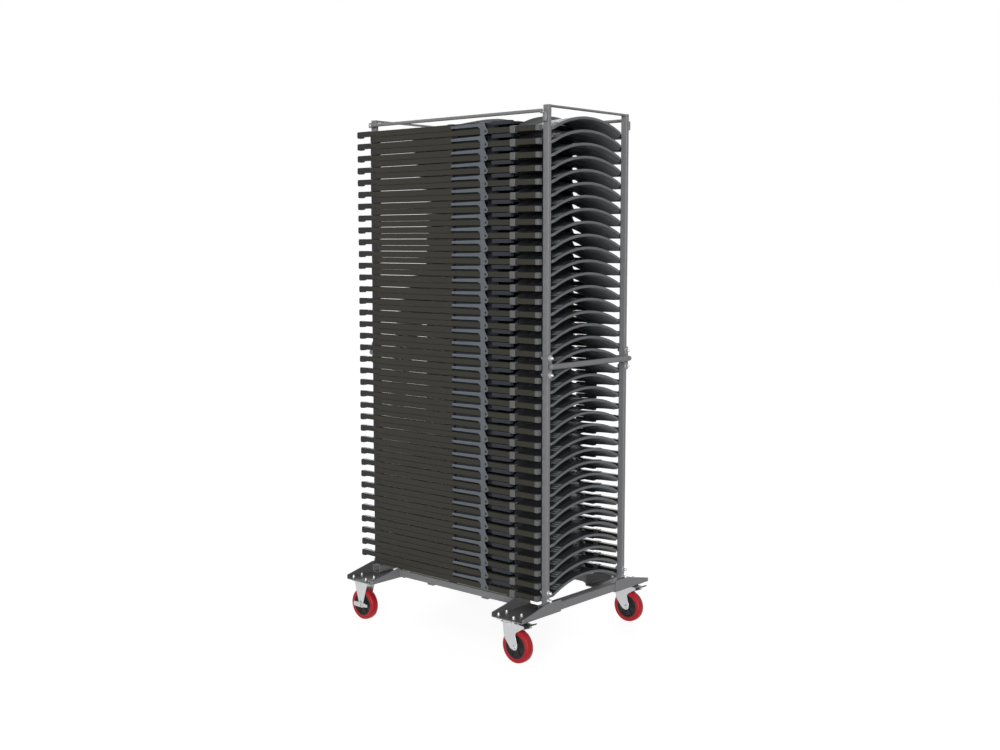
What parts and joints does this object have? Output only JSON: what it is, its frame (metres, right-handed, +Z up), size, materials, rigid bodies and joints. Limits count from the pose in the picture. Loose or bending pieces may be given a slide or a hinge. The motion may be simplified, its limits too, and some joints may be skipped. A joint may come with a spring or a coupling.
{
  "type": "folding chair trolley",
  "caption": "Tall steel trolley on castors, loaded with folded chairs stacked flat between posts under swing-up retaining bars.",
  "frame": {"origin": "on the floor, under the middle of the loaded trolley's box", "axes": "+Z up, +X along the trolley towards the swivel castors, -Y the near long side of the picture"},
  "size_m": [0.9436, 0.736, 1.9],
  "materials": {
    "grey_paint": "satin grey powder coat",
    "deck_strip": "matt dark plastic",
    "zinc_steel": "bright zinc plate",
    "red_tyre": "satin red polyurethane",
    "black_plastic": "matt black plastic",
    "pale_plastic": "matt pale plastic",
    "chair_paint": "satin dark olive-grey paint",
    "chair_hinge": "satin blue-grey paint",
    "chair_panel": "matt grey moulded plastic"
  },
  "bodies": {
    "trolley": {"post_near_right": "grey_paint", "castor_bracket_near_right": "grey_paint", "post_near_left": "grey_paint", "castor_bracket_near_left": "grey_paint", "post_far_right": "grey_paint", "castor_bracket_far_right": "grey_paint", "post_far_left": "grey_paint", "castor_bracket_far_left": "grey_paint", "post_spigots": "grey_paint", "rail_sockets": "grey_paint", "cross_straps": "grey_paint", "push_bars": "grey_paint", "push_bar_plates": "grey_paint", "bar_keepers": "grey_paint", "end_beam_right": "grey_paint", "top_bar_right": "grey_paint", "end_beam_left": "grey_paint", "top_bar_left": "grey_paint", "deck_strips": "deck_strip", "bar_pivot_studs": "zinc_steel", "swivel_plates": "zinc_steel", "rigid_forks": "zinc_steel", "side_rail_near": "grey_paint", "rigid_axle_near": "zinc_steel", "side_rail_far": "grey_paint", "rigid_axle_far": "zinc_steel"},
    "chair_stack": {"chair_main_tubes": "chair_paint", "chair_rear_legs": "chair_paint", "chair_front_braces": "chair_paint", "chair_rear_braces": "chair_paint", "chair_back_strips": "chair_paint", "chair_hinge_plates": "chair_hinge", "chair_backs": "chair_panel", "chair_seats": "chair_panel"},
    "retaining_bar_near": {"retaining_bar_near": "grey_paint"},
    "swivel_near": {"swivel_fork_near": "zinc_steel", "swivel_axle_near": "zinc_steel"},
    "wheel_near_right": {"hub_near_right": "black_plastic", "tyre_near_right": "red_tyre"},
    "brake_pedal_near": {"brake_pedal_near": "black_plastic"},
    "wheel_near_left": {"hub_near_left": "black_plastic", "tyre_near_left": "red_tyre"},
    "side_lever_near": {"side_lever_near": "pale_plastic"},
    "retaining_bar_far": {"retaining_bar_far": "grey_paint"},
    "swivel_far": {"swivel_fork_far": "zinc_steel", "swivel_axle_far": "zinc_steel"},
    "wheel_far_right": {"hub_far_right": "black_plastic", "tyre_far_right": "red_tyre"},
    "brake_pedal_far": {"brake_pedal_far": "black_plastic"},
    "wheel_far_left": {"hub_far_left": "black_plastic", "tyre_far_left": "red_tyre"},
    "side_lever_far": {"side_lever_far": "pale_plastic"}
  },
  "joints": [
    {"name": "chair_stack_lift", "type": "slide", "parent": "trolley", "child": "chair_stack", "axis": [0, 0, 1], "range_m": [0, 0.01]},
    {"name": "retaining_bar_near_swing", "type": "hinge", "parent": "trolley", "child": "retaining_bar_near", "pos_m": [-0.4078, -0.2375, 1.88], "axis": [0, -1, 0], "range_deg": [0, 95]},
    {"name": "swivel_near_turn", "type": "hinge", "parent": "trolley", "child": "swivel_near", "pos_m": [0.3682, -0.325, 0.14], "axis": [0, 0, 1], "continuous": true},
    {"name": "wheel_near_right_roll", "type": "hinge", "parent": "swivel_near", "child": "wheel_near_right", "pos_m": [0.4002, -0.325, 0.06], "axis": [0, 1, 0], "continuous": true},
    {"name": "brake_pedal_near_press", "type": "hinge", "parent": "swivel_near", "child": "brake_pedal_near", "pos_m": [0.4102, -0.325, 0.134], "axis": [0, 1, 0], "range_deg": [0, 14]},
    {"name": "wheel_near_left_roll", "type": "hinge", "parent": "trolley", "child": "wheel_near_left", "pos_m": [-0.3768, -0.325, 0.06], "axis": [0, 1, 0], "continuous": true},
    {"name": "side_lever_near_turn", "type": "hinge", "parent": "trolley", "child": "side_lever_near", "pos_m": [-0.3768, -0.325, 0.06], "axis": [0, -1, 0], "range_deg": [0, 30]},
    {"name": "retaining_bar_far_swing", "type": "hinge", "parent": "trolley", "child": "retaining_bar_far", "pos_m": [-0.4078, 0.2375, 1.88], "axis": [0, -1, 0], "range_deg": [0, 95]},
    {"name": "swivel_far_turn", "type": "hinge", "parent": "trolley", "child": "swivel_far", "pos_m": [0.3682, 0.325, 0.14], "axis": [0, 0, 1], "continuous": true},
    {"name": "wheel_far_right_roll", "type": "hinge", "parent": "swivel_far", "child": "wheel_far_right", "pos_m": [0.4002, 0.325, 0.06], "axis": [0, 1, 0], "continuous": true},
    {"name": "brake_pedal_far_press", "type": "hinge", "parent": "swivel_far", "child": "brake_pedal_far", "pos_m": [0.4102, 0.325, 0.134], "axis": [0, 1, 0], "range_deg": [0, 14]},
    {"name": "wheel_far_left_roll", "type": "hinge", "parent": "trolley", "child": "wheel_far_left", "pos_m": [-0.3768, 0.325, 0.06], "axis": [0, 1, 0], "continuous": true},
    {"name": "side_lever_far_turn", "type": "hinge", "parent": "trolley", "child": "side_lever_far", "pos_m": [-0.3768, 0.325, 0.06], "axis": [0, -1, 0], "range_deg": [0, 30]}
  ]
}
